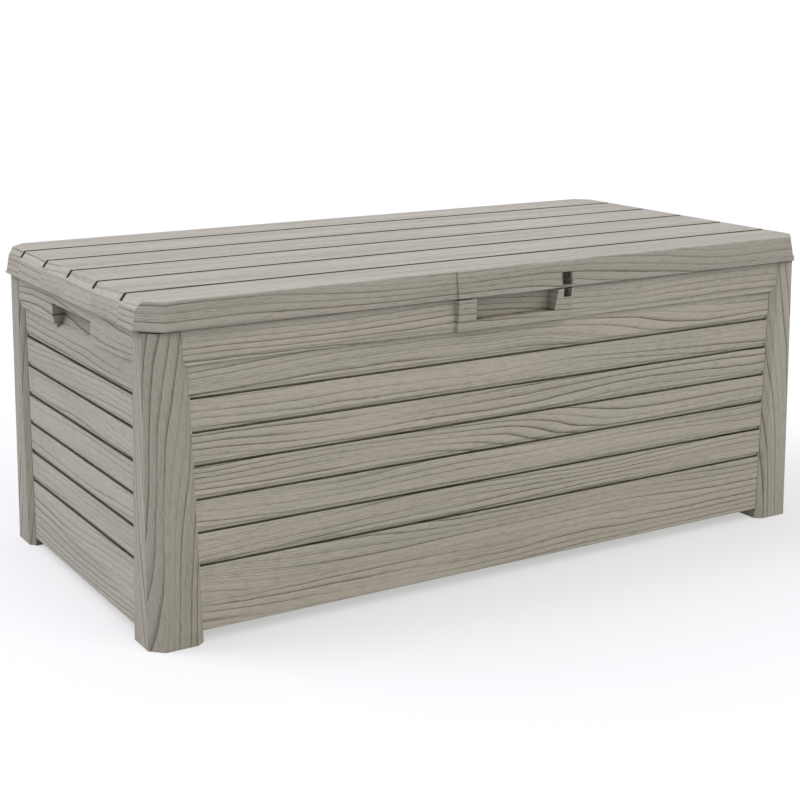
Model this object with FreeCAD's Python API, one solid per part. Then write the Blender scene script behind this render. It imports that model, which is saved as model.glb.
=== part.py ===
import FreeCAD, Part
import math
import os
from FreeCAD import Vector

# Outdoor storage chest moulded in wood-look resin: four panels between four corner posts,
# a two-piece floor on a cross beam, and a hinged slatted lid on two gas struts.
# Units are millimetres. The origin is under the centre of the chest, on the ground.
# +X runs to the right along the front, +Y to the back and +Z up, so the front faces -Y.

# General moulding sizes
wall = 3.5
seat_gap = 0.3
pin_gap = 0.05
overrun = 10.0
reach = 40.0

# Corner posts: outer half sizes and face widths at the ground and at the shelf under the lid
foot_half_x = 727.0
foot_half_y = 361.5
taper_x = 13.0
taper_y = 7.5
shelf_half_x = foot_half_x - taper_x
shelf_half_y = foot_half_y - taper_y
shelf_z = 541.0
foot_face = 82.0
shelf_face = 58.0
post_chamfer = 22.6
lip_width = 14.0
inner_lip_cut = 4.0
inner_chamfer = 12.0
tongue_depth = 5.0
web = 3.0

# Wall panels: depths are measured inwards from the plane of the post faces
panel_bottom = 21.0
side_skin_drop = 4.0
rim_height = 27.0
rim_z = shelf_z + rim_height
recess_depth = 10.0
band_depth = 2.0
back_band_depth = 4.0
band_height = 48.5
band_low = shelf_z - band_height
strip_step = 2.0
strip_height = 9.5
strip_low = band_low - strip_height
strip_slope = 1.5
band_rib_pitch = 120.0
band_rib = 2.5
flange_reach = 24.0

# Grooves between the slats of the walls: a deep slit under a shallow rebate
groove_count = 6
groove_pitch = 57.8
groove_drop = 117.0
slit_height = 3.2
slit_depth = 8.0
rebate_height = 6.2
rebate_depth = 3.2
groove_end = 1.5

# Front grip: a wedge-shaped boss with a finger pocket and a padlock notch
boss_half_top = 127.5
boss_half_bottom = 124.5
boss_proud_top = 13.3
boss_proud_bottom = 3.0
boss_flare = 0.135
pocket_half_top = 90.5
pocket_half_bottom = 86.8
pocket_height = 39.4
pocket_floor = shelf_z - pocket_height
pocket_back = 17.0
lock_x = 112.5
notch_width = 17.5
notch_height = 15.5
notch_bottom = shelf_z - notch_height
cell_width = 25.0
lock_bar_height = 5.5
lock_bar_front = 2.5
lock_bar_back = 0.5

# Side hand grips
grip_half = 98.0
grip_drop = 21.0
grip_top = shelf_z - grip_drop
grip_back = 25.0
grip_back_height = 24.0
grip_ramp_depth = 20.0
grip_ramp_height = 37.0
grip_height = 46.0

# Floor
floor_plate = 4.0
floor_rib_height = 8.0
floor_rib = 3.0
floor_rib_count = 5
beam_width = 60.0
beam_wall = 3.0
floor_gap = 0.5

# Lid: it reaches as far back, over the hinges, as the grip boss reaches forward
lid_gap = 3.0
lid_height = 49.5
lid_overhang_x = 11.0
lid_overhang_front = 9.5
lid_overhang_back = boss_proud_top
skirt_z = shelf_z + lid_gap
lid_top = skirt_z + lid_height
lid_half_x = shelf_half_x + lid_overhang_x
lid_front_y = -shelf_half_y - lid_overhang_front
lid_back_y = shelf_half_y + lid_overhang_back
lid_half_y = (lid_back_y - lid_front_y) / 2
lid_mid_y = (lid_back_y + lid_front_y) / 2
bead_proud = 1.5
bead_height = 3.0
lid_corner = 37.0
lid_edge_bevel = 2.0
draft_x = 8.0
draft_y = 5.0
end_bevel_run = 12.0
end_bevel_drop = 15.5
end_bevel_inset = 19.0
top_half_x = lid_half_x - end_bevel_inset
slat_gap_count = 5
outer_slat_width = 109.2
slat_pitch = (lid_half_y - outer_slat_width) * 2 / (slat_gap_count - 1)
slat_gap = 8.0
slat_gap_depth = 6.0
slat_gap_end_drop = 12.0
pad_half = boss_half_top
pad_proud = 2.5
lock_hole_width = 22.0
lock_hole_height = 24.3
lock_hole_rise = 3.2
lock_hole_bottom = skirt_z + lock_hole_rise
lock_hole_top = lock_hole_bottom + lock_hole_height
lock_hole_chamfer = 1.2
lock_rim_width = 2.5
lock_rim_proud = 0.8

# Lid liner and stiffeners
liner_plate = 3.0
liner_inset_x = 6.0
liner_inset_y = 18.5
liner_half_x = top_half_x - liner_inset_x
liner_half_y = lid_half_y - liner_inset_y
liner_corner = 24.0
liner_rib = 2.5
liner_rib_pitch = 176.0
stiffener_y = slat_pitch * 3 / 2
stiffener_width = 30.0
stiffener_height = 15.0
stiffener_wall = 1.5
stiffener_inset = 40.0
stiffener_half_x = liner_half_x - stiffener_inset
liner_screw_rows = 5
liner_screw_inset_x = 60.0
liner_screw_inset_y = 33.0
liner_screw_bite = 8.4
liner_screw_hole = 11.2
screw_boss_wall = 1.0

# Hinges
hinge_behind = 2.8
hinge_below = 4.0
hinge_y = shelf_half_y + hinge_behind
hinge_z = shelf_z - hinge_below
hinge_inset = 245.0
hinge_pitch = lid_half_x - hinge_inset
hinge_count = 3
knuckle_r = 6.0
hinge_pin_r = 2.5
hinge_width = 84.0
knuckle_gap = 0.4
knuckle_web_angle = 30.0
knuckle_arm = 3.6
body_leaf_height = 34.0
lid_leaf_margin = 11.0
lid_leaf_top = lid_top - lid_leaf_margin
leaf = 3.0
pin_head_r = 4.0
pin_head = 1.6

# Screws
screw_r = 2.0
screw_head_r = 4.0
screw_crown_r = 2.8
screw_head = 2.2
screw_bite = 2.8

# Gas struts: pivots on the body and on the lid, placed from the hinge axis with the lid shut
strut_inset = 30.0
strut_foot_reach = 156.8
strut_foot_drop = 193.0
strut_head_reach = 76.8
strut_head_drop = 7.0
strut_x = shelf_half_x - strut_inset
strut_foot_y = hinge_y - strut_foot_reach
strut_foot_z = hinge_z - strut_foot_drop
strut_head_y = hinge_y - strut_head_reach
strut_head_z = hinge_z - strut_head_drop
lid_opening = 90.0
tube_r = 9.0
tube_bore_r = 7.6
tube_start = 14.0
tube_cap = 3.0
gland = 8.0
rod_r = 4.0
rod_exposed = 20.0
piston = 10.0
piston_clearance = 0.1
eye_r = 9.0
eye_width = 8.0
eye_neck_r = 4.0
stud_r = 4.0
stud_head_r = 6.5
stud_head = 2.0
bracket_plate = 3.0
bracket_width = 50.0
bracket_height = 36.0
bracket_boss_r = 9.0
bracket_screw_edge = 3.0
bracket_pad = 1.0
bracket_pad_margin = 3.0
lid_arm = 3.0
lid_arm_width = 26.0


def box(x0, x1, y0, y1, z0, z1):
    return Part.makeBox(x1 - x0, y1 - y0, z1 - z0, Vector(x0, y0, z0))


def face_of(points):
    return Part.Face(Part.makePolygon(points + points[:1]))


def prism_along_x(profile, x0, x1):
    outline = [Vector(x0, y, z) for y, z in profile]
    return face_of(outline).extrude(Vector(x1 - x0, 0, 0))


def prism_along_y(profile, y0, y1):
    outline = [Vector(x, y0, z) for x, z in profile]
    return face_of(outline).extrude(Vector(0, y1 - y0, 0))


def rod_along_x(x0, x1, y, z, radius):
    return Part.makeCylinder(radius, x1 - x0, Vector(x0, y, z), Vector(1, 0, 0))


def flat_solid(first, second):
    """Solid with flat sides between two outlines that have the same number of corners."""
    faces = [face_of(first), face_of(second)]
    for index in range(len(first)):
        corner = index - 1
        faces.append(face_of([first[corner], first[index], second[index], second[corner]]))
    solid = Part.Solid(Part.Shell(faces))
    return solid if solid.Volume > 0 else solid.reversed()


def corner_cut_ring(half_x, half_y, cut, z, mid_y=0):
    """Rectangle with its corners cut off, level at height z, its middle at y = mid_y."""
    quarter = [(half_x, half_y - cut), (half_x - cut, half_y)]
    ring = quarter + [(-x, y) for x, y in reversed(quarter)]
    ring = ring + [(-x, -y) for x, y in ring]
    return [Vector(x, y + mid_y, z) for x, y in ring]


def inset_cut(cut, inset):
    """Cut of a corner whose outline has moved inwards by an even distance."""
    return cut - inset * (2 - math.sqrt(2))


def fuse_all(shapes):
    return shapes[0].multiFuse(shapes[1:]).removeSplitter() if len(shapes) > 1 else shapes[0]


def flipped(shape, across):
    return shape.mirror(Vector(0, 0, 0), across)


def save(name, *shapes):
    body = Part.makeCompound(list(shapes)) if len(shapes) > 1 else shapes[0]
    body.exportStep(os.path.join("parts", name + ".step"))


def between(at_ground, at_shelf, z):
    """Value at height z of a size that changes evenly from the ground to the shelf."""
    return at_ground + (at_shelf - at_ground) * z / shelf_z


def outer_x(z):
    return between(foot_half_x, shelf_half_x, z)


def outer_y(z):
    return between(foot_half_y, shelf_half_y, z)


def post_face(z):
    return between(foot_face, shelf_face, z)


# Corner posts. Sections are drawn from the outer corner: a runs inwards along X, b along Y.

channel_front = recess_depth - seat_gap
channel_back = recess_depth + wall + seat_gap
inner_wall = channel_back + wall


def post_solid(section, z0, z1):
    """Solid of the front left post between two heights, from its section at each height."""
    rings = []
    for z in (z0, z1):
        ring = [Vector(a - outer_x(z), b - outer_y(z), z) for a, b in section(post_face(z))]
        rings.append(ring)
    return flat_solid(rings[0], rings[1])


def mirrored_corner(along_x):
    """Outline of one arm of a post, followed by the same outline on the other arm."""
    return along_x + [(b, a) for a, b in reversed(along_x)]


def outer_section(face):
    end = face + lip_width
    inner_end = end - inner_lip_cut
    lip = [(inner_end, inner_wall), (inner_end, recess_depth), (end, recess_depth)]
    return mirrored_corner(lip + [(face, 0), (post_chamfer, 0)]) + inner_corner(inner_wall)


def inner_corner(depth):
    """Cut corner of the post's inner wall, as seen from the side that starts at the given depth."""
    cut = inset_cut(inner_chamfer, inner_wall - depth)
    return [(depth, depth + cut), (depth + cut, depth)]


def inner_section(face):
    end = face + lip_width - inner_lip_cut
    outer = [(end, channel_back)] + list(reversed(inner_corner(channel_back))) + [(channel_back, end)]
    return outer + [(inner_wall, end)] + inner_corner(inner_wall) + [(end, inner_wall)]


def cell_section(face):
    end = face - tongue_depth - seat_gap - web
    corner = post_chamfer + wall * math.tan(math.radians(22.5))
    arm = [(end, channel_back), (end, wall), (corner, wall)]
    return mirrored_corner(arm) + inner_corner(channel_back)


def foot_section(face):
    """Box-shaped foot under the panels."""
    end = face + lip_width
    return mirrored_corner([(end, recess_depth), (face, 0), (post_chamfer, 0)]) + [(end, end)]


def foot_cell_section(face):
    """Hollow of the foot, behind the post's inner wall."""
    end = face + lip_width - wall
    return inner_corner(inner_wall) + [(end, inner_wall), (end, end), (inner_wall, end)]


def channel_section(face):
    start = face - tongue_depth - seat_gap
    end = face + lip_width + reach
    return [(start, channel_front), (end, channel_front), (end, channel_back), (start, channel_back)]


def crossed_channel_section(face):
    return [(b, a) for a, b in reversed(channel_section(face))]


def corner_post():
    """Hollow angle with a channel for each panel, on a foot that is open at the top."""
    side_bottom = panel_bottom - side_skin_drop
    foot_top = side_bottom - seat_gap
    post = post_solid(outer_section, 0, shelf_z)
    post = post.fuse([post_solid(inner_section, 0, rim_z), post_solid(foot_section, 0, foot_top)])
    post = post.cut(post_solid(cell_section, wall, shelf_z - wall))
    post = post.cut(post_solid(foot_cell_section, wall, foot_top + wall))
    post = post.cut(post_solid(channel_section, panel_bottom - seat_gap, rim_z + reach))
    post = post.cut(post_solid(crossed_channel_section, side_bottom - seat_gap, rim_z + reach))
    return post.removeSplitter()


# Wall panels. Each is drawn upright with the plane of the post faces at y = 0 and the
# depth along +Y, then leaned inwards with the posts and turned to its side.

class Side:
    """One wall of the chest: its half width between the posts, its lean and its own sizes."""

    def __init__(self, half_foot, half_shelf, out_foot, out_shelf, turn, band_depth, bottom):
        self.half_foot = half_foot
        self.half_shelf = half_shelf
        self.out_foot = out_foot
        self.lean = math.degrees(math.atan2(out_foot - out_shelf, shelf_z))
        self.turn = turn
        self.band = band_depth
        self.bottom = bottom

    def half(self, z):
        return between(self.half_foot, self.half_shelf, z)

    def slab(self, inset, z0, z1, d0, d1):
        """Slab whose ends stay a given distance inside the post edges."""
        low = self.half(z0) - inset
        high = self.half(z1) - inset
        outline = [(-low, z0), (low, z0), (high, z1), (-high, z1)]
        return prism_along_y(outline, d0, d1)

    def placed(self, shape):
        """Copy of a shape drawn in the panel's own frame, moved to its place in the chest."""
        moved = shape.copy()
        moved.rotate(Vector(0, 0, 0), Vector(1, 0, 0), -self.lean)
        moved.translate(Vector(0, -self.out_foot, 0))
        moved.rotate(Vector(0, 0, 0), Vector(0, 0, 1), self.turn)
        return moved

    def place_of(self, x, d, z):
        """Point of the panel's own frame, moved to its place in the chest."""
        return self.placed(Part.Vertex(x, d, z)).Point

    def levelled(self, shape):
        """Panel moved to its place and cut level at its bottom edge and at its rim."""
        span = foot_half_x + reach
        return self.placed(shape).common(box(-span, span, -span, span, self.bottom, rim_z)).removeSplitter()


long_half_foot = foot_half_x - foot_face
long_half_shelf = shelf_half_x - shelf_face
short_half_foot = foot_half_y - foot_face
short_half_shelf = shelf_half_y - shelf_face
front = Side(long_half_foot, long_half_shelf, foot_half_y, shelf_half_y, 0, band_depth, panel_bottom)
right = Side(short_half_foot, short_half_shelf, foot_half_x, shelf_half_x, 90, band_depth,
             panel_bottom - side_skin_drop)
back = Side(long_half_foot, long_half_shelf, foot_half_y, shelf_half_y, 180, back_band_depth, panel_bottom)


def band_ring(side, depth, low):
    """Outline of the raised band at a depth, its ends sloped like the posts' lips."""
    inset = lip_width * depth / recess_depth + seat_gap
    low_half = side.half(low) - inset
    high_half = side.half(shelf_z) - inset
    return [Vector(-low_half, depth, low), Vector(low_half, depth, low),
            Vector(high_half, depth, shelf_z), Vector(-high_half, depth, shelf_z)]


def band(side):
    """Raised upper band, which steps down to a lower strip and then to the panel's face."""
    strip = side.band + strip_step
    upper = flat_solid(band_ring(side, side.band, band_low), band_ring(side, strip, band_low - strip_step))
    strip_foot = band_ring(side, recess_depth, strip_low - strip_slope)
    return upper.fuse(flat_solid(band_ring(side, strip, strip_low), strip_foot))


def band_hollow(side):
    """Spaces behind the band, with upright ribs left between them."""
    hollow = side.slab(lip_width + wall, band_low, shelf_z - wall, side.band + wall, recess_depth + wall)
    count = int(side.half(shelf_z) // band_rib_pitch)
    for step in range(-count, count + 1):
        x = step * band_rib_pitch
        hollow = hollow.cut(box(x - band_rib / 2, x + band_rib / 2, 0, reach, band_low, shelf_z))
    return hollow


def grooves(side, grow):
    """Grooves across the panel, grown by the wall where they are the skin behind them."""
    solids = []
    inset = lip_width + groove_end - grow
    for step in range(groove_count):
        foot = shelf_z - groove_drop - step * groove_pitch - grow
        slit_top = foot + slit_height + 2 * grow
        rebate_top = slit_top + rebate_height
        slit = side.slab(inset, foot, slit_top, 0, recess_depth + slit_depth + grow)
        rebate = side.slab(inset, foot, rebate_top, 0, recess_depth + rebate_depth + grow)
        solids.append(slit.fuse(rebate))
    return solids


def plain_panel(side):
    """Panel with its raised band, slatted grooves, bottom flange and rim under the lid."""
    skin = side.slab(-tongue_depth, side.bottom - overrun, rim_z + overrun, recess_depth, recess_depth + wall)
    behind_face = side.slab(0, panel_bottom, shelf_z, recess_depth, recess_depth + reach)
    backs = [shape.common(behind_face) for shape in grooves(side, wall)]
    flange = side.slab(lip_width + seat_gap, panel_bottom, panel_bottom + wall, recess_depth,
                       recess_depth + wall + flange_reach)
    panel = fuse_all([skin, band(side), flange] + backs)
    return panel.cut(grooves(side, 0) + [band_hollow(side)])


def grip_boss():
    """Wedge in front of the band, standing further out towards the lid."""
    rings = []
    for at_back in (False, True):
        ring = []
        for half, proud, z in ((boss_half_bottom, boss_proud_bottom, strip_low),
                               (boss_half_top, boss_proud_top, shelf_z)):
            depth = recess_depth + wall / 2 if at_back else -proud
            flared = half + boss_flare * (depth + proud)
            ring.append((flared, depth, z))
        low, high = ring
        rings.append([Vector(-low[0], low[1], low[2]), Vector(low[0], low[1], low[2]),
                      Vector(high[0], high[1], high[2]), Vector(-high[0], high[1], high[2])])
    return flat_solid(rings[0], rings[1])


def grip_pocket_panel():
    """Front panel: the plain panel with the grip boss, its finger pocket and the padlock notch."""
    panel = plain_panel(front).fuse(grip_boss())
    over_rim = rim_z + reach
    cell_x0 = lock_x - cell_width / 2
    cell_x1 = lock_x + cell_width / 2
    pocket_left = -pocket_half_top - wall
    housing = box(pocket_left, cell_x1 + wall, recess_depth, pocket_back + wall,
                  pocket_floor - wall, rim_z + overrun)
    tongue = box(cell_x0 - wall, cell_x1 + wall, -lock_bar_front, recess_depth, pocket_floor,
                 shelf_z + lock_bar_height)
    panel = panel.fuse([housing, tongue])
    boss_hollow = box(wall - boss_half_bottom, pocket_left, wall - boss_proud_bottom, pocket_back,
                      pocket_floor, shelf_z - wall)
    taper = [(pocket_half_bottom, pocket_floor), (pocket_half_top, shelf_z), (pocket_half_top, over_rim)]
    outline = taper + [(-x, z) for x, z in reversed(taper)]
    pocket = prism_along_y(outline, -reach, pocket_back)
    cell = box(cell_x0, cell_x1, lock_bar_back, pocket_back, notch_bottom - wall, over_rim)
    notch = box(lock_x - notch_width / 2, lock_x + notch_width / 2, -reach, lock_bar_back + wall,
                notch_bottom, shelf_z)
    return front.levelled(panel.cut([boss_hollow, pocket, cell, notch]))


def grip_profile(grow):
    """Section of the hand recess, grown outwards by the wall when it is the bowl round it."""
    back_foot = grip_top - grip_back_height - grow / 2
    ramp_foot = grip_top - grip_ramp_height - grow / 2
    foot = grip_top - grip_height - grow
    return [(-reach, grip_top + grow), (grip_back + grow, grip_top + grow), (grip_back + grow, back_foot),
            (grip_ramp_depth + grow, ramp_foot), (recess_depth + grow / 2, foot), (-reach, foot)]


def side_panel():
    """Right panel: the hand recess is moulded into its band, and the strut bracket's holes are blind."""
    span = grip_half + reach
    behind_band = box(-span, span, right.band + wall / 2, reach, band_low, shelf_z)
    behind_face = box(-span, span, recess_depth + wall / 2, reach, 0, band_low)
    bowl = prism_along_x(grip_profile(wall), -grip_half - wall, grip_half + wall)
    bowl = bowl.common(behind_band.fuse(behind_face))
    hand = prism_along_x(grip_profile(0), -grip_half, grip_half)
    half_pad = bracket_width / 2 + bracket_pad_margin
    half_height = bracket_height / 2 + bracket_pad_margin
    pad = box(strut_foot_y - half_pad, strut_foot_y + half_pad, recess_depth + wall / 2, bracket_face,
              strut_foot_z - half_height, strut_foot_z + half_height)
    cuts = [hand] + [bracket_hole(offset, screw_bite) for offset in bracket_screw_offsets()]
    return right.levelled(plain_panel(right).fuse([bowl, pad]).cut(cuts))


# Floor: two ribbed plates that meet over a cross beam and rest on the panels' flanges

flange_top_z = panel_bottom + wall
floor_under = flange_top_z + seat_gap + floor_rib_height
floor_half_x = outer_x(floor_under) - inner_wall - floor_gap
floor_half_y = outer_y(floor_under) - inner_wall - floor_gap


def floor_half():
    """Right half of the floor, with its rim and ribs underneath."""
    top = floor_under + floor_plate
    low = flange_top_z + seat_gap
    cut = inner_chamfer + floor_gap
    outline = [corner_cut_ring(floor_half_x, floor_half_y, cut, z) for z in (floor_under, top)]
    right_side = box(seat_gap / 2, floor_half_x + reach, -floor_half_y, floor_half_y, low, top)
    plate = flat_solid(outline[0], outline[1]).common(right_side)
    rib_end = floor_half_y - flange_reach
    rim_x = floor_half_x - inner_chamfer - floor_gap
    rim_end = floor_half_y - inner_chamfer - floor_gap
    start = beam_width / 2 + floor_gap
    ribs = [box(floor_half_x - floor_rib, floor_half_x, -rim_end, rim_end, low, floor_under)]
    for y in (-floor_half_y, floor_half_y - floor_rib):
        ribs.append(box(start, rim_x, y, y + floor_rib, low, floor_under))
    spacing = (floor_half_x - start) / (floor_rib_count + 1)
    for step in range(1, floor_rib_count + 1):
        x = start + step * spacing
        ribs.append(box(x - floor_rib / 2, x + floor_rib / 2, -rib_end, rib_end, low, floor_under))
    for y in (-rib_end / 2, 0, rib_end / 2):
        foot = y - floor_rib / 2
        ribs.append(box(start, floor_half_x - floor_rib, foot, foot + floor_rib, low, floor_under))
    return fuse_all([plate] + ribs)


def cross_beam():
    """Channel across the chest that carries the floor where its halves meet."""
    half = beam_width / 2
    low = flange_top_z + seat_gap
    top = floor_under - seat_gap
    solid = box(-half, half, -floor_half_y, floor_half_y, low, top)
    inside = box(-half + beam_wall, half - beam_wall, -floor_half_y - reach, floor_half_y + reach,
                 low - reach, top - beam_wall)
    return solid.cut(inside)


# Lid shell

liner_z = rim_z + seat_gap
lid_ceiling = lid_top - wall


def lid_ring(grow, z):
    """Outline of the lid's skirt at height z, with its corners cut off, grown by a distance."""
    share = (z - skirt_z) / (lid_top - skirt_z)
    half_x = lid_half_x - bead_proud - draft_x * share + grow
    half_y = lid_half_y - bead_proud - draft_y * share + grow
    return corner_cut_ring(half_x, half_y, inset_cut(lid_corner, -grow), z, lid_mid_y)


bevel_length = math.hypot(end_bevel_run, end_bevel_drop)
bevel_out = (end_bevel_drop / bevel_length, end_bevel_run / bevel_length)


def bevel_wedge(inset):
    """What the sloped right end of the lid's top takes away, moved inwards by a distance."""
    high = (top_half_x - inset * bevel_out[0], lid_top - inset * bevel_out[1])
    low = (high[0] + end_bevel_run * 2, high[1] - end_bevel_drop * 2)
    over = lid_top + reach
    outline = [high, low, (low[0] + reach, low[1]), (low[0] + reach, over), (high[0], over)]
    span = lid_half_y + reach
    return prism_along_y(outline, -span, span)


def bevelled_ends(shape, inset):
    wedge = bevel_wedge(inset)
    return shape.cut([wedge, flipped(wedge, Vector(1, 0, 0))])


def slat_trough(y, depth, half_width):
    """Trough between two slats, flat along the top and turned down over both end bevels."""
    run, drop = end_bevel_run, end_bevel_drop
    along = slat_gap_end_drop / drop
    outer_end = (top_half_x + along * run, lid_top - slat_gap_end_drop)
    inner_end = (outer_end[0] - depth * bevel_out[0], outer_end[1] - depth * bevel_out[1])
    floor_z = lid_top - depth
    turn_x = top_half_x - depth * bevel_out[0] + run / drop * (depth - depth * bevel_out[1])
    tip = (outer_end[0] + wall * bevel_out[0], outer_end[1] + wall * bevel_out[1])
    quarter = [(turn_x, floor_z), inner_end, tip, (tip[0], lid_top + wall)]
    outline = quarter + [(-x, z) for x, z in reversed(quarter)]
    return prism_along_y(outline, y - half_width, y + half_width)


def slat_gap_places():
    """Y of the middle of each gap between the lid's slats."""
    return [lid_mid_y + (step - (slat_gap_count - 1) / 2) * slat_pitch for step in range(slat_gap_count)]


def liner_screw_places():
    pitch = (liner_half_x - liner_screw_inset_x) * 2 / (liner_screw_rows - 1)
    out_y = liner_half_y - liner_screw_inset_y
    places = []
    for row in range(liner_screw_rows):
        for y in (lid_mid_y - out_y, lid_mid_y + out_y):
            places.append(((row - (liner_screw_rows - 1) / 2) * pitch, y))
    return places


def pad_face_y(z):
    """Y of the front face of the lid's pad, which leans back with the skirt."""
    rise = (z - skirt_z) / (lid_top - skirt_z)
    return lid_front_y - pad_proud + (bead_proud + draft_y) * rise


def latch_pad():
    """Flat pad on the front of the lid over the grip."""
    edge = lid_top - lid_edge_bevel
    face_high = pad_face_y(edge)
    profile = [(pad_face_y(skirt_z), skirt_z), (face_high, edge), (face_high + lid_edge_bevel, lid_top),
               (face_high + pad_proud + wall / 2, lid_top), (lid_front_y + bead_proud + wall / 2, skirt_z)]
    return prism_along_x(profile, -pad_half, pad_half)


def lock_frame(grow, out):
    """Outline of the padlock hole, grown by a distance and moved out from the pad's face."""
    x0 = lock_x - lock_hole_width / 2 - grow
    x1 = lock_x + lock_hole_width / 2 + grow
    z0 = lock_hole_bottom - grow
    z1 = lock_hole_top + grow
    return [Vector(x, pad_face_y(z) - out, z) for x, z in ((x0, z0), (x1, z0), (x1, z1), (x0, z1))]


def lock_hole_rim():
    return flat_solid(lock_frame(lock_rim_width, -wall / 2), lock_frame(lock_rim_width, lock_rim_proud))


def lock_hole():
    """Padlock hole through the front of the lid, with a chamfered mouth."""
    bore = flat_solid(lock_frame(0, -reach / 2), lock_frame(0, reach))
    cut = lock_hole_chamfer
    mouth = flat_solid(lock_frame(0, lock_rim_proud - cut), lock_frame(cut * 2, lock_rim_proud + cut))
    return [bore, mouth]


def lid_shell():
    """Outer shell of the lid: skirt, bead, sloped ends, slats and the troughs between them."""
    edge = lid_top - lid_edge_bevel
    block = flat_solid(lid_ring(0, skirt_z), lid_ring(0, edge))
    block = block.fuse(flat_solid(lid_ring(0, edge), lid_ring(-lid_edge_bevel, lid_top)))
    block = bevelled_ends(block, 0)
    bead_foot = lid_ring(bead_proud, skirt_z)
    bead = flat_solid(bead_foot, [point + Vector(0, 0, bead_height) for point in bead_foot])
    outside = block.fuse([bead, latch_pad(), lock_hole_rim()])
    inside = flat_solid(lid_ring(-wall, skirt_z - wall), lid_ring(-wall, lid_ceiling))
    inside = bevelled_ends(inside, wall)
    pans = [slat_trough(y, slat_gap_depth + wall, slat_gap / 2 + wall) for y in slat_gap_places()]
    shell = outside.cut(inside)
    shell = shell.fuse([pan.common(block) for pan in pans])
    shell = shell.cut([slat_trough(y, slat_gap_depth, slat_gap / 2) for y in slat_gap_places()])
    boss_low = liner_z + liner_plate + seat_gap
    boss_height = lid_ceiling + wall / 2 - boss_low
    for x, y in liner_screw_places():
        foot = Vector(x, y, boss_low)
        shell = shell.fuse(Part.makeCylinder(screw_head_r + screw_boss_wall, boss_height, foot))
        shell = shell.cut(Part.makeCylinder(screw_r + pin_gap, liner_screw_hole, foot))
    shell = shell.cut(lock_hole())
    shell = shell.cut([lid_leaf_screw_hole(x) for x in lid_leaf_screw_places()])
    return shell.removeSplitter()


def liner_ring(inset, z):
    """Outline of the liner at height z, with its corners cut off."""
    cut = inset_cut(liner_corner, inset)
    return corner_cut_ring(liner_half_x - inset, liner_half_y - inset, cut, z, lid_mid_y)


def lid_liner():
    """Inner panel of the lid, with an upturned edge and ribs under the slats."""
    z0 = liner_z
    z1 = liner_z + liner_plate
    rib_top = lid_ceiling - slat_gap_depth - seat_gap
    tray = flat_solid(liner_ring(0, z0), liner_ring(0, rib_top))
    hollow = flat_solid(liner_ring(liner_rib, z1), liner_ring(liner_rib, rib_top + reach))
    solids = [tray.cut(hollow)]
    end_x = liner_half_x - liner_rib
    for y in slat_gap_places():
        solids.append(box(-end_x, end_x, y - liner_rib / 2, y + liner_rib / 2, z0, rib_top))
    count = int(end_x // liner_rib_pitch)
    for step in range(-count, count + 1):
        x = step * liner_rib_pitch
        solids.append(box(x - liner_rib / 2, x + liner_rib / 2, lid_mid_y - liner_half_y,
                          lid_mid_y + liner_half_y, z0, rib_top))
    liner = fuse_all(solids)
    room_x = stiffener_half_x + seat_gap
    room_y = stiffener_width / 2 + seat_gap
    for y in stiffener_places():
        liner = liner.cut(box(-room_x, room_x, y - room_y, y + room_y, z1, z1 + reach))
    for x, y in liner_screw_places():
        hole = Part.makeCylinder(screw_r + pin_gap, reach, Vector(x, y, z0 - reach / 2))
        round_boss = Part.makeCylinder(screw_head_r + screw_boss_wall + seat_gap, reach, Vector(x, y, z1))
        liner = liner.cut([hole, round_boss])
    return liner.cut(lid_bracket_screw_holes()).removeSplitter()


def stiffener_places():
    return [lid_mid_y - stiffener_y, lid_mid_y + stiffener_y]


def stiffener(y):
    z0 = liner_z + liner_plate
    half = stiffener_width / 2
    t = stiffener_wall
    tube = box(-stiffener_half_x, stiffener_half_x, y - half, y + half, z0, z0 + stiffener_height)
    bore = box(-stiffener_half_x - reach, stiffener_half_x + reach, y - half + t, y + half - t,
               z0 + t, z0 + stiffener_height - t)
    return tube.cut(bore)


def screw(length):
    """Pan-head screw drawn along +Z from the underside of its head."""
    shank = Part.makeCylinder(screw_r, length, Vector(0, 0, 0))
    head = Part.makeCone(screw_head_r, screw_crown_r, screw_head, Vector(0, 0, 0), Vector(0, 0, -1))
    return shank.fuse(head).removeSplitter()


def liner_screws():
    solids = []
    for x, y in liner_screw_places():
        one = screw(liner_plate + seat_gap + liner_screw_bite)
        one.translate(Vector(x, y, liner_z))
        solids.append(one)
    return solids


# Hinges. The axis lies behind the back panel, inside the lid's overhang.

skirt_lean = math.degrees(math.atan2(draft_y, lid_top - skirt_z))


def rear_skirt_inner(z):
    """Y of the inner face of the lid's rear skirt at height z."""
    thickness = wall / math.cos(math.radians(skirt_lean))
    return lid_back_y - bead_proud - draft_y * (z - skirt_z) / (lid_top - skirt_z) - thickness


def hinge_places():
    return [(step - (hinge_count - 1) / 2) * hinge_pitch for step in range(hinge_count)]


def knuckle_bounds(x):
    """Ends of the lid's middle knuckle and of the body's two outer knuckles."""
    third = hinge_width / 3
    middle = (x - third / 2, x + third / 2)
    first = (x - hinge_width / 2, x - third / 2 - knuckle_gap)
    last = (x + third / 2 + knuckle_gap, x + hinge_width / 2)
    return middle, (first, last)


def leaf_screw_offsets():
    return [-hinge_width / 3, 0, hinge_width / 3]


def body_leaf_screw_z():
    return hinge_z - knuckle_r - body_leaf_height / 2


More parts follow.
